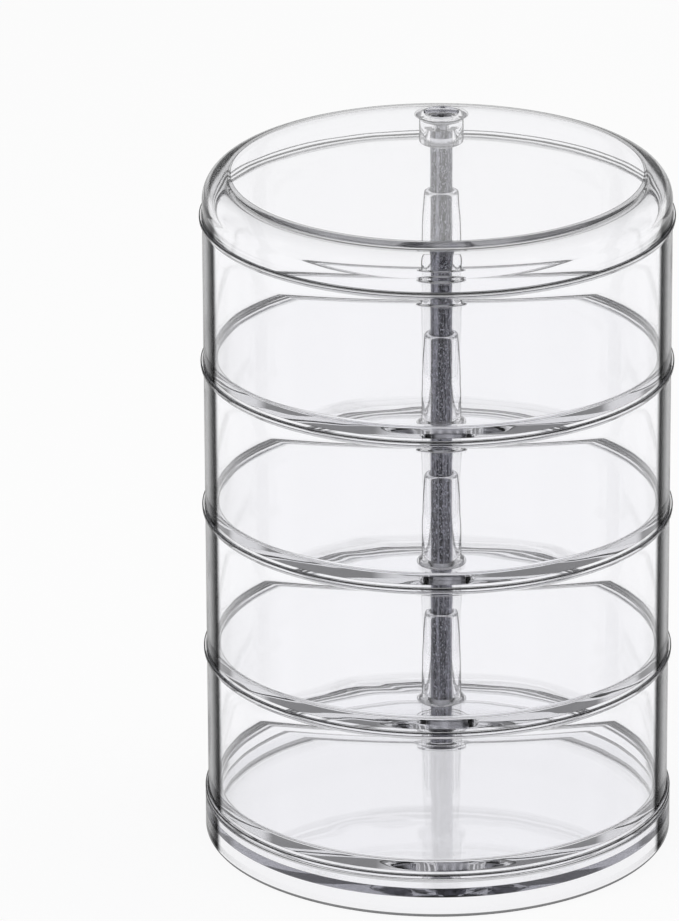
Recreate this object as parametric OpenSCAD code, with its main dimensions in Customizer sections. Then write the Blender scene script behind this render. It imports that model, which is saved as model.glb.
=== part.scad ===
// Round clear organizer: four equal trays and a lid swing about one metal rod on a low base.
// Millimetres. Origin: centre of the base's underside. +Z up, the rod stands towards +Y.

/* [Overall] */
// Diameter over the flanges, the widest part
body_dia = 117.475; // [100:0.025:150]
// Gap between each piece and the one that it turns over
seat_gap = 0.3; // [0.2:0.05:0.6]

/* [Walls and flanges] */
// Wall thickness of trays, lid and base
wall_t = 2; // [1.6:0.1:2.8]
// How far the flange round a foot stands proud of the wall above it
flange_proud = 0.75; // [0.4:0.05:1.2]
// Height of the flange round the foot of a tray or lid
flange_h = 1.1; // [0.8:0.1:2]
// Rounding of a flange's two edges
flange_round = 0.3; // [0.1:0.05:0.35]
// Rounding of a wall's open rim
rim_round = 0.5; // [0.2:0.05:0.7]
// How much thicker a tray's wall is at its rim, on the inside
rim_swell = 0.28; // [0.1:0.02:0.5]
// Height of that thickening
rim_swell_h = 4.7; // [3:0.1:8]

/* [Tray] */
// Height of one tray
tray_h = 37.85; // [32:0.05:50]
// Thickness of a tray's floor
floor_t = 2.1; // [1.6:0.1:3]
// Depth of the shallow hollow under a tray's floor
foot_depth = 1.3; // [0.8:0.1:2]
// Rounding inside a tray where the wall meets the floor
corner_round = 1.5; // [0.8:0.1:3]

/* [Tray sleeve] */
// Height of the sleeve's top over the tray's foot
sleeve_h = 27.5; // [20:0.1:30]
// Outer diameter of the sleeve at its top
sleeve_top_dia = 8.7; // [8.2:0.1:9.4]
// Outer diameter of the sleeve at the floor
sleeve_foot_dia = 10.3; // [9.6:0.1:12]
// Rounding of the sleeve's top edge
sleeve_round = 0.8; // [0.4:0.1:1]
// Fillet between the sleeve and the floor
sleeve_fillet = 1.2; // [0.5:0.1:2]

/* [Rod] */
// Rod diameter
rod_dia = 5.6; // [4.6:0.1:6.2]
// Distance from the inside of the walls to the rod's axis
rod_inset = 10.5; // [9:0.1:20]
// Running clearance between the rod and a sleeve, on the radius
run_clear = 0.06; // [0.03:0.01:0.1]
// Clearance of fixed pieces that slip together, on the radius
slip_clear = 0.02; // [0.01:0.01:0.04]
// End play between the lid and what holds it down
end_play = 0.15; // [0.1:0.05:0.3]

/* [Lid] */
// Height of the lid
lid_h = 11.675; // [11.4:0.025:16]
// Thickness of the lid's top
lid_t = 2.2; // [1.8:0.1:2.6]
// Outer rounding of the lid's top edge
lid_round = 7; // [4:0.1:7.2]
// Rounding inside the lid, where its wall meets its top
lid_inner_round = 4.4; // [2:0.1:4.6]
// How much thicker the lid's wall is at its foot, on the inside
lid_swell = 0.3; // [0.1:0.02:0.5]
// Height of that thickening
lid_swell_h = 4.6; // [3:0.1:4.9]
// Height of the hanging boss's lower end over the lid's foot
lid_boss_z = 2.1; // [1.5:0.1:3]
// Outer diameter of the hanging boss
lid_boss_dia = 11.2; // [10.8:0.1:13]
// Rounding of the boss's lower edge
lid_boss_round = 0.6; // [0.3:0.1:2]
// Fillet between the boss and the underside of the lid's top
lid_boss_fillet = 1; // [0.5:0.1:2]
// Depth of the screw's recess in the lid
lid_recess_depth = 3.6; // [2.8:0.1:4]
// Thickness of the web in the boss, between the rod's end and the screw's head
web_t = 2; // [1.2:0.1:2.4]

/* [Base] */
// Height of the base
base_h = 10.05; // [8:0.05:14]
// Height of the base floor's top face
base_floor_z = 7.1; // [6.2:0.1:9]
// Thickness of the base's floor
base_floor_t = 2.3; // [1.6:0.1:3]
// Rounding of the base's lower outer edge
base_round = 1; // [0.4:0.1:1.6]
// Outer diameter of the boss that holds the rod's lower end
base_boss_dia = 12.6; // [11.6:0.1:14]
// Rounding of that boss's lower edge
base_boss_round = 0.6; // [0.3:0.1:1]
// Fillet between that boss and the underside of the base's floor
base_boss_fillet = 1; // [0.5:0.1:1.4]
// Clear height under that boss
base_boss_lift = 0.6; // [0.3:0.1:1]
// Thickness of that boss's web, between the rod's end and the screw's head
base_web_t = 1.8; // [1.2:0.1:2]

/* [Screws] */
// Diameter of the recess round a screw's head
recess_dia = 8.8; // [8.4:0.1:9.2]
// Lid screw's head diameter
lid_head_dia = 5.8; // [5:0.1:6.6]
// Base screw's head diameter
base_head_dia = 7.8; // [7:0.1:8.2]
// Head height of both screws
head_h = 2; // [1.6:0.1:2.2]
// Shank diameter of both screws
shank_dia = 3; // [2.6:0.1:3.4]
// Length of shank in the rod
shank_len = 8; // [6:0.5:14]
// Diameter of the drive recess in a head
drive_dia = 2.4; // [1.8:0.1:3]
// Lid washer's diameter
washer_dia = 6.8; // [6:0.1:8]
// Lid washer's thickness
washer_t = 0.5; // [0.3:0.1:0.6]

/* [Hidden] */
$fn = 96;
// Steps of one quarter round in a profile
arc_steps = 6;
// Steps of the thickening of a wall
swell_steps = 4;
// Steps of the sleeve's curved side
sleeve_steps = 8;
// How fast the sleeve swells below its top
sleeve_power = 2.3;
// How far a cut runs past the face that it starts from
overrun = 1;
// Share of the head's height that its rounded crown takes
crown_share = 0.5;
// Share of the head's height that the drive recess is deep
drive_share = 0.6;

flange_r = body_dia / 2;
wall_r = flange_r - flange_proud;
inner_r = wall_r - wall_t;
rod_offset = inner_r - rod_inset;
floor_top = foot_depth + floor_t;
tray_pitch = tray_h + seat_gap;
first_tray_z = base_h + seat_gap;
lid_z = first_tray_z + 4 * tray_pitch;
bore_r = rod_dia / 2 + run_clear;
socket_r = rod_dia / 2 + slip_clear;
shank_bore_r = shank_dia / 2 + run_clear;
lid_recess_z = lid_h - lid_recess_depth;
lid_bore_z = lid_recess_z - web_t;
rod_top_z = lid_z + lid_bore_z - end_play;
base_recess_z = base_boss_lift + head_h + seat_gap;
rod_foot_z = base_recess_z + base_web_t;
base_floor_bottom = base_floor_z - base_floor_t;
tap_depth = shank_len + overrun;

// Points of an arc about c with radius r, from angle a to angle b
function arc(c, r, a, b) = [
  for (i = [0 : arc_steps])
    let (t = a + (b - a) * i / arc_steps)
    [c.x + r * cos(t), c.y + r * sin(t)]
];

// Radius of the sleeve at share u of the way from its top to the floor
function sleeve_r(u) =
  sleeve_top_dia / 2 + (sleeve_foot_dia - sleeve_top_dia) / 2 * (1 - pow(1 - u, sleeve_power));

// Outline of a flange from the foot round both its edges to the wall
function flange_side() = concat(
  arc([flange_r - flange_round, flange_round], flange_round, -90, 0),
  arc([flange_r - flange_round, flange_h - flange_round], flange_round, 0, 90),
  [[wall_r, flange_h]]
);

// Outline of a rim: over the wall's top edge from outside to inside, the inside moved in by swell
function rim(outer_r, height, swell = 0) = concat(
  arc([outer_r - rim_round, height - rim_round], rim_round, 0, 90),
  arc([inner_r - swell + rim_round, height - rim_round], rim_round, 90, 180)
);

// Inside of a wall that thickens towards its open end, with the square of the way from its thin end
function swell_side(thin_z, open_z, swell, steps) = [
  for (i = steps)
    let (u = i / swell_steps)
    [inner_r - swell * u * u, thin_z + (open_z - thin_z) * u]
];

module at_rod(z = 0) {
  translate([0, rod_offset, z])
    children();
}

// Cup of a tray: floor on a low foot ring, flange, wall and rounded rim
module tray_cup() {
  rotate_extrude()
    polygon(concat(
      [[0, foot_depth], [inner_r, foot_depth], [inner_r, 0]],
      flange_side(),
      rim(wall_r, tray_h, rim_swell),
      swell_side(tray_h - rim_swell_h, tray_h - rim_round, rim_swell, [swell_steps - 1 : -1 : 0]),
      arc([inner_r - corner_round, floor_top + corner_round], corner_round, 0, -90),
      [[0, floor_top]]
    ));
}

// Sleeve that stands on the tray's floor round the rod
module tray_sleeve() {
  foot_r = sleeve_foot_dia / 2;
  side_foot = floor_top + sleeve_fillet;
  side_top = sleeve_h - sleeve_round;
  mid_floor = floor_top - floor_t / 2;
  rotate_extrude()
    polygon(concat(
      [[0, mid_floor], [foot_r + sleeve_fillet, mid_floor]],
      arc([foot_r + sleeve_fillet, side_foot], sleeve_fillet, -90, -180),
      [for (i = [1 : sleeve_steps - 1])
        let (u = 1 - i / sleeve_steps)
        [sleeve_r(u), side_top + (side_foot - side_top) * u]],
      arc([sleeve_top_dia / 2 - sleeve_round, side_top], sleeve_round, 0, 90),
      [[0, sleeve_h]]
    ));
}

module tray(level) {
  color("ghostwhite", 0.5)
    translate([0, 0, first_tray_z + level * tray_pitch])
      difference() {
        union() {
          tray_cup();
          at_rod() tray_sleeve();
        }
        at_rod(foot_depth - overrun)
          cylinder(h = sleeve_h - foot_depth + 2 * overrun, r = bore_r);
      }
}

// Shell of the lid: flange, low wall, large rounded edge and flat top
module lid_shell() {
  under = lid_h - lid_t;
  rotate_extrude()
    polygon(concat(
      flange_side(),
      arc([wall_r - lid_round, lid_h - lid_round], lid_round, 0, 90),
      [[0, lid_h], [0, under]],
      arc([inner_r - lid_inner_round, under - lid_inner_round], lid_inner_round, 90, 0),
      swell_side(lid_swell_h, 0, lid_swell, [0 : swell_steps])
    ));
}

// Boss that hangs from the lid's top round the rod's upper end
module lid_boss() {
  boss_r = lid_boss_dia / 2;
  under = lid_h - lid_t;
  rotate_extrude()
    polygon(concat(
      [[0, lid_boss_z]],
      arc([boss_r - lid_boss_round, lid_boss_z + lid_boss_round], lid_boss_round, -90, 0),
      arc([boss_r + lid_boss_fillet, under - lid_boss_fillet], lid_boss_fillet, 180, 90),
      [[boss_r + lid_boss_fillet, lid_h - lid_t / 2], [0, lid_h - lid_t / 2]]
    ));
}

module lid() {
  color("ghostwhite", 0.5)
    translate([0, 0, lid_z])
      difference() {
        union() {
          lid_shell();
          at_rod() lid_boss();
        }
        at_rod(lid_recess_z)
          cylinder(h = lid_recess_depth + overrun, d = recess_dia);
        at_rod(lid_boss_z - overrun)
          cylinder(h = lid_bore_z - lid_boss_z + overrun, r = bore_r);
        at_rod(lid_boss_z)
          cylinder(h = lid_h, r = shank_bore_r);
      }
}

// Base: outer ring with the floor across it part way up, hollow below
module base_shell() {
  rotate_extrude()
    polygon(concat(
      [[0, base_floor_bottom], [inner_r, base_floor_bottom], [inner_r, 0]],
      arc([flange_r - base_round, base_round], base_round, -90, 0),
      rim(flange_r, base_h),
      [[inner_r, base_floor_z], [0, base_floor_z]]
    ));
}

// Boss under the base's floor that holds the rod's lower end
module base_boss() {
  boss_r = base_boss_dia / 2;
  mid_floor = base_floor_z - base_floor_t / 2;
  rotate_extrude()
    polygon(concat(
      [[0, base_boss_lift]],
      arc([boss_r - base_boss_round, base_boss_lift + base_boss_round], base_boss_round, -90, 0),
      arc([boss_r + base_boss_fillet, base_floor_bottom - base_boss_fillet], base_boss_fillet, 180, 90),
      [[boss_r + base_boss_fillet, mid_floor], [0, mid_floor]]
    ));
}

module base() {
  color("ghostwhite", 0.5)
    difference() {
      union() {
        base_shell();
        at_rod() base_boss();
      }
      at_rod(base_boss_lift - overrun)
        cylinder(h = base_recess_z - base_boss_lift + overrun, d = recess_dia);
      at_rod(base_boss_lift)
        cylinder(h = rod_foot_z, r = shank_bore_r);
      at_rod(rod_foot_z)
        cylinder(h = base_floor_z - rod_foot_z + overrun, r = socket_r);
    }
}

// Rod with a tapped hole in each end
module rod() {
  color("gray")
    at_rod(rod_foot_z)
      difference() {
        cylinder(h = rod_top_z - rod_foot_z, d = rod_dia);
        translate([0, 0, -overrun])
          cylinder(h = tap_depth + overrun, r = shank_dia / 2 + slip_clear);
        translate([0, 0, rod_top_z - rod_foot_z - tap_depth])
          cylinder(h = tap_depth + overrun, r = shank_dia / 2 + slip_clear);
      }
}

// Pan head screw, head up, with its bearing face at z = 0
module screw(head_dia, length) {
  shank_r = shank_dia / 2;
  crown = head_h * crown_share;
  difference() {
    rotate_extrude()
      polygon(concat(
        [[0, -length], [shank_r, -length], [shank_r, 0], [head_dia / 2, 0]],
        arc([head_dia / 2 - crown, head_h - crown], crown, 0, 90),
        [[0, head_h]]
      ));
    translate([0, 0, head_h * (1 - drive_share)])
      cylinder(h = head_h, d = drive_dia);
  }
}

module lid_screw() {
  color("silver")
    at_rod(lid_z + lid_recess_z + end_play + washer_t)
      screw(lid_head_dia, washer_t + end_play + web_t + end_play + shank_len);
}

module lid_washer() {
  color("silver")
    at_rod(lid_z + lid_recess_z + end_play)
      difference() {
        cylinder(h = washer_t, d = washer_dia);
        translate([0, 0, -overrun])
          cylinder(h = washer_t + 2 * overrun, r = shank_dia / 2 + slip_clear);
      }
}

module base_screw() {
  color("dimgray")
    at_rod(base_recess_z)
      rotate([180, 0, 0])
        screw(base_head_dia, base_web_t + shank_len);
}

base();
rod();
base_screw();
tray(0);  // tray_1
tray(1);  // tray_2
tray(2);  // tray_3
tray(3);  // tray_4
lid();
lid_screw();
lid_washer();
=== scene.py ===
"""Looks of the clear organizer with swinging trays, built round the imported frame."""

import math

import bpy
import numpy as np
from bpy.props import FloatProperty, FloatVectorProperty, IntProperty, PointerProperty
from mathutils import Matrix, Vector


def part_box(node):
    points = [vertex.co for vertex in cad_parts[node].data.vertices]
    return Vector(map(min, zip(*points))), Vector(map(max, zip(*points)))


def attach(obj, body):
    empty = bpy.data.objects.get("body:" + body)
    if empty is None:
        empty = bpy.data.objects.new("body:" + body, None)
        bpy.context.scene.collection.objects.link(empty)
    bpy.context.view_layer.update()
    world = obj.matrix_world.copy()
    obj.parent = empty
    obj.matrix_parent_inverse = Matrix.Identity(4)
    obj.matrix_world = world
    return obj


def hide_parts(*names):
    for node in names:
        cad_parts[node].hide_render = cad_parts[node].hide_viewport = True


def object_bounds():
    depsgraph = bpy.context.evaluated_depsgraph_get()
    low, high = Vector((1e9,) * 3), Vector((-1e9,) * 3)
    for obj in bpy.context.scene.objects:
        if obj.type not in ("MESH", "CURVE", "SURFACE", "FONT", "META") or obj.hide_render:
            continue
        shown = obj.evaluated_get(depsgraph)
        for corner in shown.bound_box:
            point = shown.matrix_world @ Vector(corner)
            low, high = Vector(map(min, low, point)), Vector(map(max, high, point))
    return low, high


bl_info = {
    "name": "Clear Swivel Organizer",
    "version": (1, 0, 0),
    "blender": (4, 5, 0),
    "location": "View3D > Sidebar > Organizer",
    "description": "Builds clear trays, lid, base, rod and screws round the packed frame",
    "category": "Add Mesh",
}

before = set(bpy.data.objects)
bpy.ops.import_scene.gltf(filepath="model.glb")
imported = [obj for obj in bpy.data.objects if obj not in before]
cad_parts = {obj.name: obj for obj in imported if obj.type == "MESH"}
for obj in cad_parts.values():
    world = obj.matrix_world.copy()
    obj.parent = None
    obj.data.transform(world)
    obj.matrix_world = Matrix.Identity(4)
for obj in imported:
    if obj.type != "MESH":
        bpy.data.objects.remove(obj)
CAD_BOX = [list(corner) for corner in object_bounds()]
FLANGE_R = CAD_BOX[1][0]
TRAYS = sorted(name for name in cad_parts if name.startswith("tray_"))
ROD_LOW, ROD_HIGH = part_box("rod")
ROD_Y = (ROD_LOW.y + ROD_HIGH.y) / 2
ROD_R = (ROD_HIGH.x - ROD_LOW.x) / 2
MM = 0.001

# Steps round a small rounding and round the lid's large one, and points along a swelling side.
ROUND_STEPS = 8
LARGE_STEPS = 20
SIDE_POINTS = 13
# A straight run gets support rings where it is longer than this many times their distance from its ends.
LONG_RUN = 6
# A rounding of this radius or less takes the whole painted shade of small roundings.
SMALL_ROUND = 0.3 * MM
# Power of the curve along which a sleeve widens towards its foot.
SLEEVE_POWER = 2.3
# A screw's mesh: faces round it, rings over its head's face, steps round the head's edge, the part of that
# edge's radius that the ring at its middle has, and the bevels over which a cross's arm falls at its end.
SCREW_TURNS = 120
FACE_RINGS = 40
HEAD_EDGE_STEPS = 6
CENTRE_PART = 20
END_BEVELS = 3

# Each noise: its scale along x, y and z in a metre, its detail, and the levels that are pulled to 0 and 1.
STREAKS = ((1300, 1300, 14), 3, 0.42, 0.66)
SCRATCHES = ((3000, 3000, 500), 2, 0.5, 0.66)
GRAIN = ((4000, 4000, 1600), 0, 0.62, 0.7)
WAVES = (1, 0.3, 0.7)
# Share of the streaks in drawn metal, where the scratches have the rest, and share of the colour lost to
# painted shade in a screw's cross and on its thread.
STREAK_SHARE = 0.55
SCREW_PAINTED_SHADE_SHARE = 0.95
# How upright a face's normal is where the face begins to count as level, and where it fully does.
LEVEL_FACE = (0.985, 0.999)
# Where a painted light band of the rod begins to fade and where it ends, in its half heights from its middle.
BAND_FADE = (0.9, 1.2)

WHITE = (1.0, 1.0, 1.0, 1.0)
BLACK = (0.0, 0.0, 0.0, 1.0)
# Light windows round the object, at equal turns.
WINDOWS = 8
# Each lamp: name, x and y in metres, and power in watts. Then the lamps' height and size, and the height of
# the point over the origin that they face, in metres.
LAMPS = (("left_lamp", -0.9, -0.6, 9.0), ("right_lamp", 0.9, 0.4, 6.0))
LAMP_HEIGHT = 1.2
LAMP_SIZE = 0.7
LAMP_AIM = 0.08
# Width of the camera's film in millimetres, and how far the camera sees in metres.
FILM_WIDTH = 36.0
FAR = 20.0
# How often light may bounce or bend on its way, and pass straight through a surface.
BOUNCES = 128
CLEAR_BOUNCES = 48


def size(name, description, default_mm):
    """A length property with its default given in millimetres."""
    return FloatProperty(name=name, description=description, default=default_mm * MM, min=0.0,
                         unit="LENGTH", subtype="DISTANCE", precision=5)


def angle(name, description, default_degrees):
    """An angle property with its default given in degrees."""
    return FloatProperty(name=name, description=description, default=math.radians(default_degrees),
                         subtype="ANGLE")


def share(name, description, default):
    """A property that goes from 0 to 1."""
    return FloatProperty(name=name, description=description, default=default, min=0.0, max=1.0,
                         subtype="FACTOR")


def amount(name, description, default):
    """A property without a unit."""
    return FloatProperty(name=name, description=description, default=default, min=0.0)


def colour(name, description, default):
    """A linear colour property without alpha."""
    return FloatVectorProperty(name=name, description=description, default=default, size=3,
                               min=0.0, max=1.0, subtype="COLOR")


class OrganizerSizes(bpy.types.PropertyGroup):
    """Sizes of the mouldings and screws that the frame's boxes don't give, and how strongly painted shade
    darkens them.
    """

    wall: size("Wall", "Wall thickness of trays and lid", 2.0)
    flange_proud: size("Flange step", "How far a flange stands proud of its wall", 0.75)
    flange_height: size("Flange height", "Height of the flange round a foot", 1.1)
    flange_round: size("Flange rounding", "Rounding of a flange's edges", 0.3)
    swell: size("Rim swell", "How much thicker a tray's wall gets towards its rim", 0.28)
    swell_height: size("Rim swell height", "Height over which it does so", 4.7)
    lid_swell: size("Lid swell", "How much thicker the lid's wall gets towards its foot", 0.3)
    lid_swell_height: size("Lid swell height", "Height over which it does so", 4.6)
    rim_round: size("Rim rounding", "Rounding of an open rim", 0.5)
    floor: size("Floor", "Thickness of a tray's floor", 2.1)
    foot_depth: size("Foot depth", "Hollow under a tray's floor", 1.3)
    corner_round: size("Inner corner", "Rounding between wall and floor", 1.5)
    sleeve_height: size("Sleeve height", "Sleeve top over the tray's foot", 27.5)
    sleeve_top: size("Sleeve top", "Diameter of the sleeve at its top", 8.7)
    sleeve_foot: size("Sleeve foot", "Diameter of the sleeve at the floor", 10.3)
    sleeve_round: size("Sleeve rounding", "Rounding of the sleeve's top edge", 0.8)
    sleeve_fillet: size("Sleeve fillet", "Fillet between sleeve and floor", 1.2)
    run_clear: size("Clearance", "Gap between rod and bore, and round a screw's shank", 0.06)
    socket_clear: size("Socket clearance", "Gap between rod and base", 0.02)
    painted_band_rise: size("Painted band rise", "How far the rod's painted light band reaches above a tray's floor", 0.6)
    lid_top: size("Lid top", "Thickness of the lid's top", 2.2)
    lid_round: size("Lid edge", "Outer rounding of the lid's top edge", 7.0)
    lid_inner_round: size("Lid inner edge", "Inner rounding under the lid's top edge", 4.4)
    lid_boss: size("Lid boss", "Diameter of the lid's hanging boss", 11.2)
    lid_boss_z: size("Lid boss end", "Lower end of that boss over the lid's foot", 2.1)
    lid_boss_round: size("Lid boss rounding", "Rounding of the boss's lower edge", 0.6)
    boss_fillet: size("Boss fillet", "Fillet between a boss and the top or floor it hangs from", 1.0)
    recess: size("Recess", "Diameter of a screw's recess", 8.8)
    lid_recess: size("Lid recess", "Depth of the recess in the lid", 3.6)
    web: size("Web", "Thickness of the web under the lid's screw", 2.0)
    head_height: size("Head height", "Height of a screw's head", 2.0)
    head_round: size("Head rounding", "Rounding of a screw head's edge", 0.5)
    head_dome: size("Head dome", "How much a screw head's face falls towards its edge", 0.3)
    drive: size("Drive", "Length of the cross in a screw's head", 3.6)
    drive_arm: size("Drive arm", "Width of the cross's arms", 1.0)
    drive_depth: size("Drive depth", "Depth of the cross", 1.3)
    drive_bevel: size("Drive bevel", "Width over which an arm's sides fall", 0.22)
    shank: size("Shank", "Diameter of a screw's shank", 3.0)
    base_floor_z: size("Base floor", "Height of the base floor's top face", 7.1)
    base_floor: size("Base floor thickness", "Thickness of the base's floor", 2.3)
    base_round: size("Base rounding", "Rounding of the base's lower edge", 1.0)
    base_boss: size("Base boss", "Diameter of the boss under the base", 12.6)
    base_boss_round: size("Base boss rounding", "Rounding of that boss's lower edge", 0.6)
    base_lift: size("Base boss lift", "Clear height under that boss", 0.6)
    base_recess_z: size("Base recess", "Height of the recess floor in the base", 2.9)
    base_web: size("Base web", "Thickness of the web over that recess", 1.8)
    # Painted shade in the clear plastic: how strongly each part darkens where it is seen edge on, and how
    # much shade it takes from any side.
    flange_edge_shade: share("Flange painted edge shade", "How strongly a flange darkens edge on", 0.5)
    recess_edge_shade: share("Recess painted edge shade", "How strongly the lid's recess darkens edge on", 1.0)
    lid_edge_shade: share("Lid painted edge shade", "How strongly the lid's wall darkens edge on", 0.5)
    lid_top_edge_shade: share("Lid top painted edge shade", "How strongly the lid darkens edge on round its top", 1.0)
    foot_shade: share("Foot shade", "Darkening at the base's lower edge", 0.9)
    boss_shade: share("Boss shade", "Darkening at the lid boss's fillet", 0.2)
    lid_top_shade: share("Lid top shade", "Darkening round the lid's flat top", 0.45)
    lid_shade: share("Lid shade", "Darkening under the lid's top edge", 0.15)
    # Painted shade on a screw's thread.
    thread_painted_shade: share("Thread painted shade", "How much painted shade a screw's thread takes", 1.0)
    support: size("Edge support", "How near a flat's support ring lies to its edge", 0.12)
    segments: IntProperty(name="Segments", description="Faces round each moulding", default=288, min=24)


class OrganizerFinish(bpy.types.PropertyGroup):
    """Colours and gloss of the materials."""

    clear: colour("Clear plastic", "Tint that the plastic gives to what is behind it", (0.99, 0.99, 1.0))
    # Painted shade in the clear plastic: where a wall is seen nearly edge on, as if dark cards stood round
    # it, and at small roundings.
    edge_first: share("Edge first", "Cosine of the view angle at which a clear wall begins to darken", 0.325)
    edge_full: share("Edge full", "Cosine of the view angle at which it is darkest", 0.275)
    edge_last: share("Edge last", "Cosine of the view angle at which it is paler again", 0.14)
    edge_depth: share("Edge depth", "Share of light lost where it is darkest", 0.93)
    edge_rest: share("Edge rest", "Share of light lost at the very edge", 0.5)
    shade_depth: share("Shade depth", "Share of light lost at small roundings", 0.85)
    within: share("Within", "Share of the loss edge on that light inside the plastic is spared", 1.0)
    mirror: share("Mirror", "Share of the plain reflection kept where it is seen head on", 0.35)
    shadow: colour("Shadow tint", "Tint of the light that the plastic lets through to its shadow",
                   (0.93, 0.93, 0.95))
    depth_tint: colour("Depth tint", "Colour that light takes on along its way through the plastic",
                       (0.3, 0.3, 0.37))
    density: amount("Density", "How fast it takes that colour on in trays and lid, in a metre", 4.5)
    base_density: amount("Base density", "How fast it takes that colour on in the base, in a metre", 14.0)
    wave: size("Waves", "Height of the faint waves in the moulded faces", 0.03)
    wave_scale: amount("Wave scale", "Waves in a metre", 40.0)
    ior: FloatProperty(name="Refraction", description="Index of refraction", default=1.49, min=1.0, max=2.0)
    rod_light: colour("Rod light", "Light streaks of the rod", (0.42, 0.42, 0.48))
    rod_dark: colour("Rod dark", "Dark streaks of the rod", (0.006, 0.006, 0.01))
    painted_band_light: colour("Painted rod light", "Painted light bands of the rod at the trays' floors", (0.85, 0.85, 0.87))
    screw: colour("Screw light", "Light parts of the bright screw", (0.6, 0.6, 0.63))
    screw_dark: colour("Screw dark", "Dark parts of the bright screw", (0.05, 0.05, 0.06))
    washer: colour("Washer light", "Light parts of the washer", (0.9, 0.9, 0.92))
    washer_dark: colour("Washer dark", "Dark parts of the washer", (0.6, 0.6, 0.63))
    black_light: colour("Black screw light", "Light parts of the blackened screw", (0.04, 0.04, 0.045))
    black_dark: colour("Black screw dark", "Dark parts of the blackened screw", (0.008, 0.008, 0.01))
    drawn_rough: share("Drawn roughness", "Roughness of the rod and the blackened screw", 0.3)
    bright_rough: share("Bright roughness", "Roughness of the bright screw and its washer", 0.2)


class StageSettings(bpy.types.PropertyGroup):
    """Camera, floor and surroundings."""

    lens: FloatProperty(name="Lens", description="Focal length in millimetres", default=308.03, min=1.0)
    camera_x: size("Camera x", "Camera place across", 41.71)
    camera_back: size("Camera back", "Camera distance in front", 1829.7)
    camera_z: size("Camera height", "Camera height", 811.6)
    yaw: angle("Yaw", "Turn of the view from +Y towards +X", -2.0697)
    pitch: angle("Pitch", "Tilt of the view below the horizon", 21.2906)
    roll: angle("Roll", "Turn about the view", -0.305)
    dark: share("Dark", "Brightness between the light windows", 0.3)
    window: angle("Window", "Half width of a light window in the surroundings", 5.0)
    window_fade: angle("Window fade", "Angle over which a window fades at its sides", 8.0)
    window_light: share("Window light", "Brightness of a light window", 0.9)
    window_top: angle("Window top", "Elevation of a light window's upper edge", 30.0)
    window_top_fade: angle("Window top fade", "Angle over which a window fades at that edge", 3.0)
    overhead: share("Overhead", "Brightness of the light overhead", 0.6)
    overhead_edge: angle("Overhead edge", "Elevation at which the overhead light begins", 50.0)
    overhead_fade: angle("Overhead fade", "Angle over which it grows to its full brightness", 12.0)
    sky_level: share("Sky level", "Brightness of the surroundings to plain surfaces", 0.5)
    floor_level: share("Floor level", "Brightness of the floor to plain surfaces", 0.4)
    floor_paint: share("Floor paint", "Share of plain paint in the floor, which takes the shadow", 0.12)
    floor_grey: share("Floor grey", "Grey level of that paint", 0.9)
    floor_size: size("Floor", "Half width of the floor", 4000.0)


def sizes():
    """The scene's size settings."""
    return bpy.context.scene.organizer_sizes


def arc(centre, radius, first, last, steps=ROUND_STEPS):
    """Points (r, z) at equal angles from first to last degrees round centre."""
    turn = np.radians(np.linspace(first, last, steps + 1))
    return np.stack([centre[0] + radius * np.cos(turn), centre[1] + radius * np.sin(turn)], 1)


def along(centre_y, *runs, edge=0.0, shade=0.0):
    """Stations (centre y, r, z, edge, shade): runs of (r, z) points, all turned about the axis x = 0,
    y = centre_y. Edge says how strongly painted shade darkens them where they are seen edge on, and shade how
    much painted shade they take from any side."""
    points = np.vstack([np.asarray(run, float).reshape(-1, 2) for run in runs])
    plain = np.ones(len(points))
    return np.column_stack([centre_y * plain, points, edge * plain, shade * plain])


def supported(stations, near):
    """Stations with extra ones at the distance near from both ends of each long straight run, so that
    smooth shading stays flat between them. The run is the straight blend from one station to the next."""
    ends = np.roll(stations, -1, axis=0)
    length = np.linalg.norm((ends - stations)[:, :3], axis=1)
    out = []
    for start, end, run in zip(stations, ends, length):
        out.append(start)
        if run > LONG_RUN * near:
            part = near / run
            out.append(start + (end - start) * part)
            out.append(end + (start - end) * part)
    return np.array(out)


def grid_quads(rows, turns, closed):
    """Corner numbers of the faces between neighbouring rings of a grid of rows rings with turns points each.
    Where closed, the last ring also joins the first."""
    u, v = np.meshgrid(np.arange(rows if closed else rows - 1), np.arange(turns), indexing="ij")
    next_u, next_v = (u + 1) % rows, (v + 1) % turns
    corners = [u * turns + v, u * turns + next_v, next_u * turns + next_v, next_u * turns + v]
    return np.stack(corners, axis=2).reshape(-1, 4)


def ring_skin(name, stations, segments):
    """Closed skin over a loop of stations (c, r, z, edge, shade). The point at share v of the way round
    station u is (r sin(a), c - r cos(a), z) with a = 2 pi v, so each station is a level circle round x = 0,
    y = c. The mesh carries edge and shade, the shares of painted shade, as attributes, and shade is at least
    the section's bending."""
    rings = supported(stations, sizes().support)
    turn = np.linspace(0.0, 2.0 * math.pi, segments, endpoint=False)
    c, r, z = rings[:, :1], rings[:, 1:2], rings[:, 2:3]
    grid = np.stack([r * np.sin(turn), c - r * np.cos(turn), z + 0 * turn], axis=2)
    points = grid.reshape(-1, 3)
    piece = mesh_object(name, points, outward(points, grid_quads(len(rings), segments, True)))
    shade = np.maximum(bending(rings[:, :3]), rings[:, 4])
    for label, values in (("shade", shade), ("edge", rings[:, 3])):
        attribute = piece.data.attributes.new(label, "FLOAT", "POINT")
        attribute.data.foreach_set("value", np.repeat(values, segments).astype(np.float32))
    return piece


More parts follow.
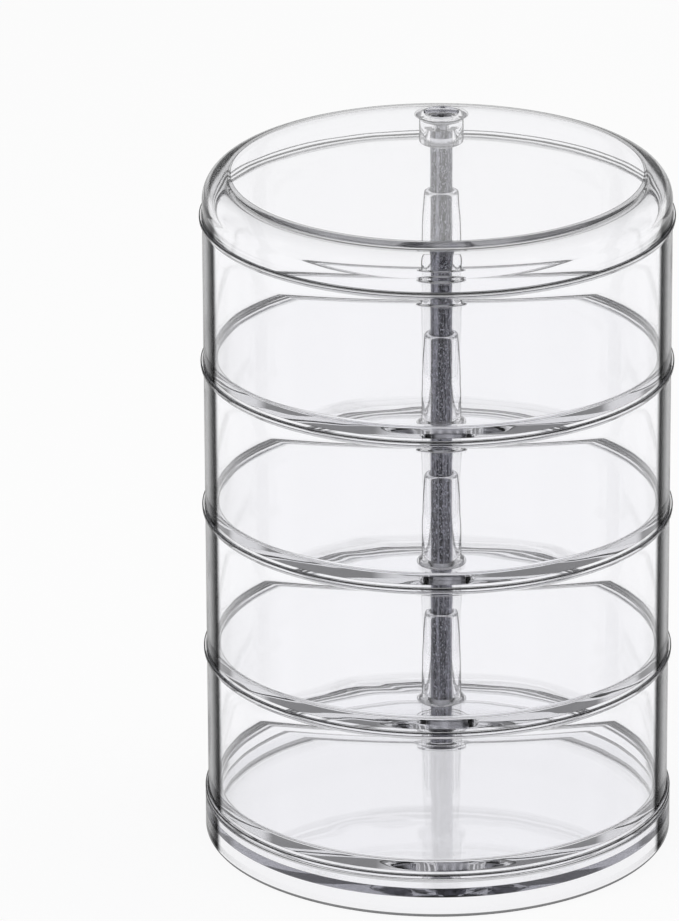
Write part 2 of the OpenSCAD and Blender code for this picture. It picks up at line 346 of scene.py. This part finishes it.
def bending(rings):
    """How strongly the section bends at each station, from 0 to 1: the square of the angle between the runs
    before and after it, over half their length, times the radius of a small rounding. A rounding of that
    radius or less gives 1."""
    after = np.roll(rings, -1, axis=0) - rings
    before = np.roll(after, 1, axis=0)
    length = np.linalg.norm(after, axis=1), np.linalg.norm(before, axis=1)
    cosine = np.einsum("ij,ij->i", after, before) / (length[0] * length[1])
    turn = np.arccos(np.clip(cosine, -1, 1))
    return np.clip(turn / (length[0] + length[1]) * 2 * SMALL_ROUND, 0, 1) ** 2


def outward(points, quads):
    """The quads in the order that makes the enclosed volume positive: a sixth of the sum of the triple
    products of each half quad's corners."""
    a, b, c, d = (points[quads[:, k]] for k in range(4))
    volume = np.einsum("ij,ij->", a, np.cross(b, c)) + np.einsum("ij,ij->", a, np.cross(c, d))
    return quads if volume > 0 else quads[:, ::-1]


def mesh_object(name, points, quads, caps=(), sharp=math.radians(28)):
    """A mesh object at the origin, of four-sided faces and of many-sided caps, with smooth shading split at
    edges sharper than the given angle."""
    corners = np.concatenate([quads.ravel(), *caps])
    counts = np.array([4] * len(quads) + [len(cap) for cap in caps])
    mesh = bpy.data.meshes.new(name)
    mesh.vertices.add(len(points))
    mesh.vertices.foreach_set("co", points.astype(np.float32).ravel())
    mesh.loops.add(len(corners))
    mesh.loops.foreach_set("vertex_index", corners.astype(np.int32))
    mesh.polygons.add(len(counts))
    mesh.polygons.foreach_set("loop_start", (np.cumsum(counts) - counts).astype(np.int32))
    mesh.update(calc_edges=True)
    mesh.validate()
    mesh.shade_smooth()
    mesh.set_sharp_from_angle(angle=sharp)
    piece = bpy.data.objects.new(name, mesh)
    bpy.context.scene.collection.objects.link(piece)
    return piece


def flange(s, wall_r):
    """A flange's stations from the wall over its upper edge, down its side and round its lower edge. All but
    the first take the flange's own share of painted edge-on shade; the first takes it in full."""
    centre_r = FLANGE_R - s.flange_round
    points = np.vstack([
        [(wall_r, s.flange_height)],
        arc((centre_r, s.flange_height - s.flange_round), s.flange_round, 90, 0),
        arc((centre_r, s.flange_round), s.flange_round, 0, -90),
    ])
    tone = np.full(len(points), s.flange_edge_shade)
    tone[0] = 1.0
    return along(0.0, points, edge=tone)


def rim(s, outer_r, inner_r, height):
    """A rounded rim's section, from the wall's outside over its top to its inside."""
    return np.vstack([
        arc((outer_r - s.rim_round, height - s.rim_round), s.rim_round, 0, 90),
        arc((inner_r + s.rim_round, height - s.rim_round), s.rim_round, 90, 180),
    ])


def swell_side(inner_r, thin_z, open_z, swell):
    """Inner side of a wall that thickens towards its open end: at share u of the way from its thin end to its
    open end its radius is smaller by swell * u ** 2."""
    u = np.linspace(0, 1, SIDE_POINTS)
    return np.column_stack([inner_r - swell * u ** 2, thin_z + (open_z - thin_z) * u])


def tray_stations(s, height):
    """Section of a tray as one loop: up the bore, over the sleeve and down its swelling side, out over the
    floor, up and over the wall, down the outside and in under the floor. The sleeve's radius is
    top + (foot - top) * (1 - (1 - u) ** power) at share u of the way from its top to the floor."""
    wall_r = FLANGE_R - s.flange_proud
    inner_r = wall_r - s.wall
    bore = ROD_R + s.run_clear
    floor_top = s.foot_depth + s.floor
    top_r, foot_r = s.sleeve_top / 2, s.sleeve_foot / 2
    side_top, side_foot = s.sleeve_height - s.sleeve_round, floor_top + s.sleeve_fillet
    u = np.linspace(0, 1, SIDE_POINTS)
    side = np.column_stack([
        top_r + (foot_r - top_r) * (1 - (1 - u) ** SLEEVE_POWER),
        side_top + (side_foot - side_top) * u,
    ])
    bore_side = along(ROD_Y, [(bore, s.foot_depth), (bore, s.sleeve_height)])
    sleeve = along(
        ROD_Y,
        arc((top_r - s.sleeve_round, side_top), s.sleeve_round, 90, 0)[:-1],
        side[:-1],
        arc((foot_r + s.sleeve_fillet, side_foot), s.sleeve_fillet, 180, 270),
        edge=1.0,
    )
    inside = along(
        0.0,
        arc((inner_r - s.corner_round, floor_top + s.corner_round), s.corner_round, -90, 0),
        swell_side(inner_r, height - s.swell_height, height - s.rim_round, s.swell)[:-1],
    )
    outside = along(0.0, rim(s, wall_r, inner_r - s.swell, height)[::-1], edge=1.0)
    foot = along(0.0, [(inner_r, 0), (inner_r, s.foot_depth)])
    return np.vstack([bore_side, sleeve, inside, outside, flange(s, wall_r), foot])


def lid_stations(s, height):
    """Section of the lid as one loop: up the blind bore, in under the web, up the screw's hole, out and up
    the recess, out over the top, round the large edge, down the wall and flange, up the inside, in under the
    top and down round the hanging boss. Round the large edge the share of painted edge-on shade goes from the
    top's to the wall's, and the top's painted shade fades out in the first third. The inner edge's painted
    shade sets in after a third."""
    wall_r = FLANGE_R - s.flange_proud
    inner_r = wall_r - s.wall
    bore = ROD_R + s.run_clear
    hole = s.shank / 2 + s.run_clear
    recess_z = height - s.lid_recess
    under = height - s.lid_top
    inner_round = s.lid_inner_round
    boss_r = s.lid_boss / 2
    middle = along(
        ROD_Y,
        [(bore, s.lid_boss_z), (bore, recess_z - s.web), (hole, recess_z - s.web)],
        [(hole, recess_z), (s.recess / 2, recess_z), (s.recess / 2, height)],
        edge=s.recess_edge_shade,
    )
    top = along(0.0, [(wall_r - s.lid_round - s.support, height)], edge=s.lid_top_edge_shade)
    outside = along(
        0.0,
        arc((wall_r - s.lid_round, height - s.lid_round), s.lid_round, 90, 0, LARGE_STEPS),
        edge=np.linspace(s.lid_top_edge_shade, s.lid_edge_shade, LARGE_STEPS + 1),
        shade=s.lid_top_shade * np.clip(np.linspace(1, -2, LARGE_STEPS + 1), 0, 1),
    )
    inside = along(0.0, swell_side(inner_r, s.lid_swell_height, 0, s.lid_swell)[::-1])
    inner_edge = along(
        0.0,
        arc((inner_r - inner_round, under - inner_round), inner_round, 0, 90, LARGE_STEPS),
        shade=s.lid_shade * np.clip(np.linspace(-0.5, 1, LARGE_STEPS + 1), 0, 1),
    )
    ceiling = along(0.0, [(inner_r - inner_round - s.support, under)])
    ceiling_end = along(ROD_Y, [(boss_r + s.boss_fillet + s.support, under)])
    fillet = along(
        ROD_Y,
        arc((boss_r + s.boss_fillet, under - s.boss_fillet), s.boss_fillet, 90, 180),
        edge=1.0,
        shade=s.boss_shade,
    )
    boss = along(
        ROD_Y,
        [(boss_r, under - s.boss_fillet - s.support)],
        arc((boss_r - s.lid_boss_round, s.lid_boss_z + s.lid_boss_round), s.lid_boss_round, 0, -90),
        edge=1.0,
    )
    return np.vstack([middle, top, outside, flange(s, wall_r), inside, inner_edge, ceiling, ceiling_end,
                      fillet, boss])


def base_stations(s, height):
    """Section of the base as one loop: down the rod's socket, in over the web, down the screw's hole, out
    and down the recess, round the boss's foot and up it, out under the floor, round the skirt, over the
    rim and back in over the floor."""
    inner_r = FLANGE_R - s.flange_proud - s.wall
    under = s.base_floor_z - s.base_floor
    boss_r = s.base_boss / 2
    hole = s.shank / 2 + s.run_clear
    socket = ROD_R + s.socket_clear
    web_z = s.base_recess_z + s.base_web
    middle = along(
        ROD_Y,
        [(socket, s.base_floor_z), (socket, web_z), (hole, web_z), (hole, s.base_recess_z)],
        [(s.recess / 2, s.base_recess_z), (s.recess / 2, s.base_lift)],
        arc((boss_r - s.base_boss_round, s.base_lift + s.base_boss_round), s.base_boss_round, -90, 0),
        arc((boss_r + s.boss_fillet, under - s.boss_fillet), s.boss_fillet, 180, 90),
    )
    skirt = along(0.0, [(inner_r, under), (inner_r, 0)])
    foot = along(
        0.0,
        arc((FLANGE_R - s.base_round, s.base_round), s.base_round, -90, 0),
        edge=1.0,
        shade=s.foot_shade,
    )
    outside = along(
        0.0,
        [(FLANGE_R, s.base_round + s.support)],
        rim(s, FLANGE_R, inner_r, height),
        edge=1.0,
    )
    inside = along(0.0, [(inner_r, s.base_floor_z)])
    return np.vstack([middle, skirt, foot, outside, inside])


def cross_arm(s, lengthwise, crosswise):
    """How far points lie inside one arm of a screw's cross, from 0 to 1: it falls off over one bevel at the
    arm's sides and over several at its ends."""
    end = np.clip((s.drive / 2 - abs(lengthwise)) / s.drive_bevel / END_BEVELS, 0, 1)
    side = np.clip((s.drive_arm / 2 - abs(crosswise)) / s.drive_bevel, 0, 1)
    return end * side


def screw_skin(node, points_up, s):
    """Closed skin of a screw over a CAD node, from the middle of its head over its edge and down its shank.
    At distance r from the axis the head's face is lower by dome * (r / head radius) ** 2, and by the drive's
    depth times how far it lies inside the cross. The attribute that carries painted shade is 1 in the cross
    and on the thread."""
    low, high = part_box(node)
    middle_x, middle_y = (low.x + high.x) / 2, (low.y + high.y) / 2
    head, shank, length = (high.x - low.x) / 2, s.shank / 2, high.z - low.z
    centre, face_r = s.head_round / CENTRE_PART, head - s.head_round
    face = np.linspace(centre, face_r, FACE_RINGS)
    edge = arc((face_r, -s.head_dome - s.head_round), s.head_round, 80, 0, HEAD_EDGE_STEPS)
    rest = np.array([(head, -s.head_height), (shank, -s.head_height), (shank, -length + s.head_round),
                     (shank - s.head_round, -length), (centre, -length)])
    r = np.concatenate([face, edge[:, 0], rest[:, 0]])[:, None]
    fall = -s.head_dome * (face / face_r) ** 2
    z = np.concatenate([fall, edge[:, 1], rest[:, 1]])[:, None]
    turn = np.linspace(0.0, 2.0 * math.pi, SCREW_TURNS, endpoint=False)
    x, y = r * np.cos(turn), r * np.sin(turn)
    on_face = (r < face_r) * (np.arange(len(r)) < len(face))[:, None]
    cross = np.maximum(cross_arm(s, x, y), cross_arm(s, y, x)) * on_face
    up = z - s.drive_depth * cross
    height = high.z + up if points_up else low.z - up
    points = np.stack([middle_x + x, middle_y + y, height], axis=2).reshape(-1, 3)
    quads = grid_quads(len(r), SCREW_TURNS, False)
    faces = outward(points, quads)
    first = np.arange(SCREW_TURNS)
    last = first + (len(r) - 1) * SCREW_TURNS
    caps = (first[::-1], last) if faces is quads else (first, last[::-1])
    piece = mesh_object(node + "_cross_head", points, faces, caps)
    # Painted shade on the thread.
    thread = s.thread_painted_shade * (np.abs(r - shank) < s.head_round) * (z < -s.head_height - s.support)
    painted_screw_shade = piece.data.attributes.new("painted_screw_shade", "FLOAT", "POINT")
    painted_screw_shade.data.foreach_set("value", np.maximum(cross, thread).astype(np.float32).ravel())
    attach(piece, "stand")
    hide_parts(node)
    return piece


def moulding(node, stations, foot_z, body, plastic):
    """A clear moulding over a CAD node: its stations lifted to foot_z, riding on the node's body."""
    lifted = stations + np.array([0.0, 0.0, foot_z, 0.0, 0.0])
    piece = ring_skin(node + "_moulding", lifted, sizes().segments)
    piece.data.materials.append(plastic)
    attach(piece, body)
    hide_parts(node)
    return piece


def node_material(name):
    """A new node material: the material, its emptied node tree and its output node."""
    made = bpy.data.materials.new(name)
    made.use_nodes = True
    tree = made.node_tree
    tree.nodes.clear()
    return made, tree, tree.nodes.new("ShaderNodeOutputMaterial")


def fill(tree, slot, value):
    """Gives an input socket its value, or links it where the value is a socket."""
    if isinstance(value, bpy.types.NodeSocket):
        tree.links.new(value, slot)
    else:
        slot.default_value = value


def math_node(tree, operation, *values):
    """Output of a Math node; each value is a number or a socket."""
    node = tree.nodes.new("ShaderNodeMath")
    node.operation = operation
    for slot, value in zip(node.inputs, values):
        fill(tree, slot, value)
    return node.outputs[0]


def blend_colour(tree, level, first, second):
    """Colour socket that goes from the first to the second colour with the level; each is a colour or a
    socket. A Mix node has its two colours at inputs 6 and 7 and their blend at output 2."""
    mix = tree.nodes.new("ShaderNodeMix")
    mix.data_type = "RGBA"
    tree.links.new(level, mix.inputs["Factor"])
    fill(tree, mix.inputs[6], first)
    fill(tree, mix.inputs[7], second)
    return mix.outputs[2]


def blend_shader(tree, level, first, second):
    """Shader socket that goes from the first to the second shader with the level, a number or a socket."""
    mix = tree.nodes.new("ShaderNodeMixShader")
    fill(tree, mix.inputs[0], level)
    tree.links.new(first, mix.inputs[1])
    tree.links.new(second, mix.inputs[2])
    return mix.outputs[0]


def step(tree, value, start, end, before=1.0, after=0.0):
    """Socket that goes smoothly from before to after while the value goes from start to end."""
    ramp = tree.nodes.new("ShaderNodeMapRange")
    ramp.interpolation_type = "SMOOTHSTEP"
    ramp.inputs["From Min"].default_value = start
    ramp.inputs["From Max"].default_value = end
    ramp.inputs["To Min"].default_value = before
    ramp.inputs["To Max"].default_value = after
    tree.links.new(value, ramp.inputs["Value"])
    return ramp.outputs["Result"]


def object_place(tree):
    """Socket of the Object coordinates."""
    return tree.nodes.new("ShaderNodeTexCoord").outputs["Object"]


def apart(tree, vector):
    """The three sockets x, y and z of a vector socket."""
    node = tree.nodes.new("ShaderNodeSeparateXYZ")
    tree.links.new(vector, node.inputs[0])
    return tuple(node.outputs)


def attribute_socket(tree, label):
    """Value socket of one of the mesh's own attributes."""
    attribute = tree.nodes.new("ShaderNodeAttribute")
    attribute.attribute_name = label
    return attribute.outputs["Fac"]


def noise_level(tree, place, scale, detail, low, high):
    """Socket from 0 to 1 of noise on Object coordinates stretched by a scale for each axis, with its low and
    high level pulled to 0 and 1."""
    stretch = tree.nodes.new("ShaderNodeMapping")
    stretch.inputs["Scale"].default_value = scale
    noise = tree.nodes.new("ShaderNodeTexNoise")
    noise.inputs["Detail"].default_value = detail
    noise.inputs["Scale"].default_value = 1.0
    tree.links.new(place, stretch.inputs["Vector"])
    tree.links.new(stretch.outputs["Vector"], noise.inputs["Vector"])
    return step(tree, noise.outputs["Fac"], low, high, 0.0, 1.0)


def painted_shade(tree, finish):
    """Socket with the share of light that the clear plastic loses to painted shade, which stands in for dark
    surroundings as between dark cards: where an outer face is seen nearly edge on from outside the plastic,
    and at small roundings from both sides. The first grows as the cosine of the view angle falls to its
    darkest, falls a little towards the edge, and leaves out level faces."""
    geometry = tree.nodes.new("ShaderNodeNewGeometry")
    normal_z = apart(tree, geometry.outputs["Normal"])[2]
    upright = step(tree, math_node(tree, "ABSOLUTE", normal_z), *LEVEL_FACE)
    glance = tree.nodes.new("ShaderNodeLayerWeight")
    glance.inputs["Blend"].default_value = 0.5
    facing = glance.outputs["Facing"]
    begin = step(tree, facing, 1 - finish.edge_first, 1 - finish.edge_full, 0.0, 1.0)
    end = step(tree, facing, 1 - finish.edge_full, 1 - finish.edge_last, finish.edge_depth, finish.edge_rest)
    where = math_node(tree, "MULTIPLY", upright, attribute_socket(tree, "edge"))
    edge = math_node(tree, "MULTIPLY", math_node(tree, "MULTIPLY", begin, end), where)
    spared = math_node(tree, "MULTIPLY", geometry.outputs["Backfacing"], finish.within)
    edge_on = math_node(tree, "MULTIPLY", edge, math_node(tree, "SUBTRACT", 1.0, spared))
    rounding = math_node(tree, "MULTIPLY", attribute_socket(tree, "shade"), finish.shade_depth)
    return math_node(tree, "MAXIMUM", edge_on, rounding)


def clear_plastic(name, density):
    """Clear polished plastic: it bends light, mirrors it at a glance, is darkened by painted shade at its
    edges and small roundings, takes on a tint along the light's way, and lets lamps through for soft shadows."""
    if name in bpy.data.materials:
        return bpy.data.materials[name]
    finish = bpy.context.scene.organizer_finish
    made, tree, output = node_material(name)
    nodes, links = tree.nodes, tree.links
    body = nodes.new("ShaderNodeBsdfPrincipled")
    body.inputs["Base Color"].default_value = (*finish.clear, 1)
    body.inputs["Roughness"].default_value = 0.0
    body.inputs["IOR"].default_value = finish.ior
    body.inputs["Transmission Weight"].default_value = 1.0
    body.inputs["Specular Tint"].default_value = (finish.mirror, finish.mirror, finish.mirror, 1)
    wave = nodes.new("ShaderNodeBump")
    wave.inputs["Distance"].default_value = finish.wave
    links.new(noise_level(tree, object_place(tree), (finish.wave_scale,) * 3, *WAVES), wave.inputs["Height"])
    links.new(wave.outputs["Normal"], body.inputs["Normal"])
    shadow = nodes.new("ShaderNodeLightPath").outputs["Is Shadow Ray"]
    through = nodes.new("ShaderNodeBsdfTransparent")
    links.new(blend_colour(tree, shadow, BLACK, (*finish.shadow, 1)), through.inputs["Color"])
    # Painted shade: where it lies, the plastic turns black instead of clear.
    level = math_node(tree, "MAXIMUM", shadow, painted_shade(tree, finish))
    links.new(blend_shader(tree, level, body.outputs[0], through.outputs[0]), output.inputs["Surface"])
    depth = nodes.new("ShaderNodeVolumeAbsorption")
    depth.inputs["Color"].default_value = (*finish.depth_tint, 1)
    depth.inputs["Density"].default_value = density
    links.new(depth.outputs[0], output.inputs["Volume"])
    return made


def drawn_metal(name, light, dark, roughness):
    """Drawn metal: long streaks along Z, short scratches, and a fine bright grain, each from stretched noise.
    Painted shade makes it nearly black in a screw's cross and on its thread."""
    made, tree, output = node_material(name)
    body = tree.nodes.new("ShaderNodeBsdfPrincipled")
    body.inputs["Metallic"].default_value = 1.0
    body.inputs["Roughness"].default_value = roughness
    place = object_place(tree)
    streaks = math_node(tree, "MULTIPLY", noise_level(tree, place, *STREAKS), STREAK_SHARE)
    scratches = math_node(tree, "MULTIPLY", noise_level(tree, place, *SCRATCHES), 1 - STREAK_SHARE)
    lines = math_node(tree, "ADD", streaks, scratches)
    level = math_node(tree, "MAXIMUM", lines, noise_level(tree, place, *GRAIN))
    colours = blend_colour(tree, level, (*dark, 1), (*light, 1))
    # Painted shade in the screw's cross and on its thread.
    painted_screw_shade = math_node(tree, "MULTIPLY", attribute_socket(tree, "painted_screw_shade"), SCREW_PAINTED_SHADE_SHARE)
    tree.links.new(blend_colour(tree, painted_screw_shade, colours, BLACK), body.inputs["Base Color"])
    tree.links.new(body.outputs[0], output.inputs["Surface"])
    return made


def paint_light_bands(metal, finish):
    """Adds painted light to the rod's drawn metal: a bright band at the height of each tray's floor, one in
    each tray's height."""
    s = sizes()
    tree = metal.node_tree
    first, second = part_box(TRAYS[0])[0].z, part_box(TRAYS[1])[0].z
    over = math_node(tree, "SUBTRACT", apart(tree, object_place(tree))[2], first)
    height = math_node(tree, "MODULO", over, second - first)
    half = (s.floor + s.painted_band_rise) / 2
    away = math_node(tree, "ABSOLUTE", math_node(tree, "SUBTRACT", height, s.foot_depth + half))
    # Painted light: a bright band round the rod at each tray's floor.
    band = step(tree, away, *(half * fade for fade in BAND_FADE))
    slot = tree.nodes["Principled BSDF"].inputs["Base Color"]
    drawn = slot.links[0].from_socket
    tree.links.new(blend_colour(tree, band, drawn, (*finish.painted_band_light, 1)), slot)


class ORGANIZER_OT_trays(bpy.types.Operator):
    """Builds the clear trays."""

    bl_idname = "organizer.trays"
    bl_label = "Build trays"

    def execute(self, context):
        plastic = clear_plastic("polished_clear", context.scene.organizer_finish.density)
        for node in TRAYS:
            low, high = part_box(node)
            moulding(node, tray_stations(sizes(), high.z - low.z), low.z, node, plastic)
        return {"FINISHED"}


class ORGANIZER_OT_lid(bpy.types.Operator):
    """Builds the clear lid."""

    bl_idname = "organizer.lid"
    bl_label = "Build lid"

    def execute(self, context):
        low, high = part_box("lid")
        plastic = clear_plastic("polished_clear", context.scene.organizer_finish.density)
        moulding("lid", lid_stations(sizes(), high.z - low.z), low.z, "lid", plastic)
        return {"FINISHED"}


class ORGANIZER_OT_base(bpy.types.Operator):
    """Builds the clear base."""

    bl_idname = "organizer.base"
    bl_label = "Build base"

    def execute(self, context):
        low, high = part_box("base")
        plastic = clear_plastic("polished_base", context.scene.organizer_finish.base_density)
        moulding("base", base_stations(sizes(), high.z - low.z), low.z, "stand", plastic)
        return {"FINISHED"}


class ORGANIZER_OT_metal(bpy.types.Operator):
    """Finishes the rod and the washer, and builds the screws."""

    bl_idname = "organizer.metal"
    bl_label = "Finish metal"

    def execute(self, context):
        finish = context.scene.organizer_finish
        rod = drawn_metal("streaked_rod", finish.rod_light, finish.rod_dark, finish.drawn_rough)
        paint_light_bands(rod, finish)
        bright = drawn_metal("bright_steel", finish.screw, finish.screw_dark, finish.bright_rough)
        pale = drawn_metal("pale_washer", finish.washer, finish.washer_dark, finish.bright_rough)
        black = drawn_metal("black_steel", finish.black_light, finish.black_dark, finish.drawn_rough)
        for node, metal in (("rod", rod), ("lid_washer", pale)):
            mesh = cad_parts[node].data
            mesh.materials.clear()
            mesh.materials.append(metal)
        for node, metal, points_up, slot in (("lid_screw", bright, True, "bright_screw"),
                                             ("base_screw", black, False, "dark_screw")):
            screw = screw_skin(node, points_up, sizes())
            screw.data.materials.append(metal)
        return {"FINISHED"}


def grey(level):
    """The colour of one grey level."""
    return (level, level, level, 1.0)


def ray_split(tree, camera, seen, other):
    """Colour socket by the kind of ray: for camera rays, for glossy and transmission rays, and for all
    others. Each is a colour or a socket."""
    path = tree.nodes.new("ShaderNodeLightPath")
    either = math_node(tree, "MAXIMUM", path.outputs["Is Glossy Ray"], path.outputs["Is Transmission Ray"])
    return blend_colour(tree, path.outputs["Is Camera Ray"], blend_colour(tree, either, other, seen), camera)


def sky_light(tree, direction, stage):
    """Brightness socket of the surroundings in a direction: light windows low down, dark between and over
    them, and a soft light overhead. The windows stand at equal turns. Fold is the azimuth's distance from the
    middle of the nearest one, and lift is the direction's elevation."""
    x, y, z = apart(tree, direction)
    fold = math_node(tree, "PINGPONG", math_node(tree, "ARCTAN2", x, y), math.pi / WINDOWS)
    lift = math_node(tree, "ARCSINE", z)
    window = step(tree, fold, stage.window, stage.window + stage.window_fade, stage.window_light, 0.0)
    below = step(tree, lift, stage.window_top, stage.window_top + stage.window_top_fade)
    full = stage.overhead_edge + stage.overhead_fade
    over = step(tree, lift, stage.overhead_edge, full, 0.0, stage.overhead)
    lit = math_node(tree, "MAXIMUM", math_node(tree, "MULTIPLY", window, below), over)
    return math_node(tree, "MAXIMUM", lit, stage.dark)


class ORGANIZER_OT_stage(bpy.types.Operator):
    """Builds the floor, the surroundings, the lamps and the camera."""

    bl_idname = "organizer.stage"
    bl_label = "Build stage"

    def execute(self, context):
        stage = context.scene.organizer_stage
        self.floor(stage)
        self.world(context, stage)
        self.lamps(context)
        self.camera(context, stage)
        return {"FINISHED"}

    def floor(self, stage):
        """One large level square at the foot of the part: white to the camera, the clear plastic and the
        metal, a plain level to the rest, with some plain paint that takes the shadow."""
        half = stage.floor_size
        corners = np.array([(-half, -half, 0), (half, -half, 0), (half, half, 0), (-half, half, 0)])
        sheet = mesh_object("floor", corners, np.array([[0, 1, 2, 3]]))
        made, tree, output = node_material("pale_floor")
        glow = tree.nodes.new("ShaderNodeEmission")
        tree.links.new(ray_split(tree, WHITE, WHITE, grey(stage.floor_level)), glow.inputs["Color"])
        paint = tree.nodes.new("ShaderNodeBsdfDiffuse")
        paint.inputs["Color"].default_value = grey(stage.floor_grey)
        mixed = blend_shader(tree, stage.floor_paint, glow.outputs[0], paint.outputs[0])
        tree.links.new(mixed, output.inputs["Surface"])
        sheet.data.materials.append(made)

    def world(self, context, stage):
        """White to the camera, light windows to clear plastic and metal, and a plain level to the rest."""
        world = bpy.data.worlds.new("studio")
        world.use_nodes = True
        tree = world.node_tree
        tree.nodes.clear()
        output = tree.nodes.new("ShaderNodeOutputWorld")
        sky = tree.nodes.new("ShaderNodeBackground")
        seen = sky_light(tree, tree.nodes.new("ShaderNodeTexCoord").outputs["Generated"], stage)
        tree.links.new(ray_split(tree, WHITE, seen, grey(stage.sky_level)), sky.inputs["Color"])
        tree.links.new(sky.outputs[0], output.inputs["Surface"])
        context.scene.world = world

    def lamps(self, context):
        """Two soft lamps above, to either side, that the plastic and the metal don't show."""
        for name, x, y, energy in LAMPS:
            data = bpy.data.lights.new(name, "AREA")
            data.size = LAMP_SIZE
            data.energy = energy
            lamp = bpy.data.objects.new(name, data)
            lamp.visible_glossy = False
            lamp.visible_transmission = False
            lamp.location = (x, y, LAMP_HEIGHT)
            away = lamp.location.copy()
            away.z -= LAMP_AIM
            lamp.rotation_euler = away.to_track_quat("Z", "Y").to_euler()
            context.scene.collection.objects.link(lamp)

    def camera(self, context, stage):
        """The photograph's camera: place, view direction by yaw and pitch, and a slight roll."""
        data = bpy.data.cameras.new("camera")
        data.sensor_width = FILM_WIDTH
        data.lens = stage.lens
        data.clip_end = FAR
        cy, sy = math.cos(stage.yaw), math.sin(stage.yaw)
        cp, sp = math.cos(stage.pitch), math.sin(stage.pitch)
        ahead = np.array([sy * cp, cy * cp, -sp])
        right = np.array([cy, -sy, 0.0])
        up = np.cross(right, ahead)
        cr, sr = math.cos(stage.roll), math.sin(stage.roll)
        right, up = cr * right + sr * up, -sr * right + cr * up
        place = Matrix.Identity(4)
        for row in range(3):
            place[row][0], place[row][1], place[row][2] = right[row], up[row], -ahead[row]
        place[0][3], place[1][3], place[2][3] = stage.camera_x, -stage.camera_back, stage.camera_z
        camera = bpy.data.objects.new("camera", data)
        camera.matrix_world = place
        context.scene.collection.objects.link(camera)
        context.scene.camera = camera


class ORGANIZER_PT_panel(bpy.types.Panel):
    """Sidebar panel that lists the build steps."""

    bl_idname = "ORGANIZER_PT_panel"
    bl_label = "Clear organizer"
    bl_space_type = "VIEW_3D"
    bl_region_type = "UI"
    bl_category = "Organizer"

    def draw(self, context):
        for operator in STEPS:
            self.layout.operator(operator.bl_idname)


STEPS = (ORGANIZER_OT_stage, ORGANIZER_OT_base, ORGANIZER_OT_trays, ORGANIZER_OT_lid, ORGANIZER_OT_metal)
GROUPS = {
    "organizer_sizes": OrganizerSizes,
    "organizer_finish": OrganizerFinish,
    "organizer_stage": StageSettings,
}


def register():
    """Registers the classes and hangs the settings on the scene."""
    for cls in (*GROUPS.values(), *STEPS, ORGANIZER_PT_panel):
        bpy.utils.register_class(cls)
    for name, group in GROUPS.items():
        setattr(bpy.types.Scene, name, PointerProperty(type=group))


def unregister():
    """Takes the settings and the classes away again."""
    for name in GROUPS:
        delattr(bpy.types.Scene, name)
    for cls in (ORGANIZER_PT_panel, *reversed(STEPS), *reversed(tuple(GROUPS.values()))):
        bpy.utils.unregister_class(cls)


def main():
    register()
    scene = bpy.context.scene
    scene.view_settings.view_transform = "Standard"
    scene.cycles.max_bounces = BOUNCES
    scene.cycles.transmission_bounces = BOUNCES
    scene.cycles.glossy_bounces = BOUNCES
    scene.cycles.transparent_max_bounces = CLEAR_BOUNCES
    bpy.ops.organizer.stage()
    bpy.ops.organizer.base()
    bpy.ops.organizer.trays()
    bpy.ops.organizer.lid()
    bpy.ops.organizer.metal()


if __name__ == "__main__":
    main()
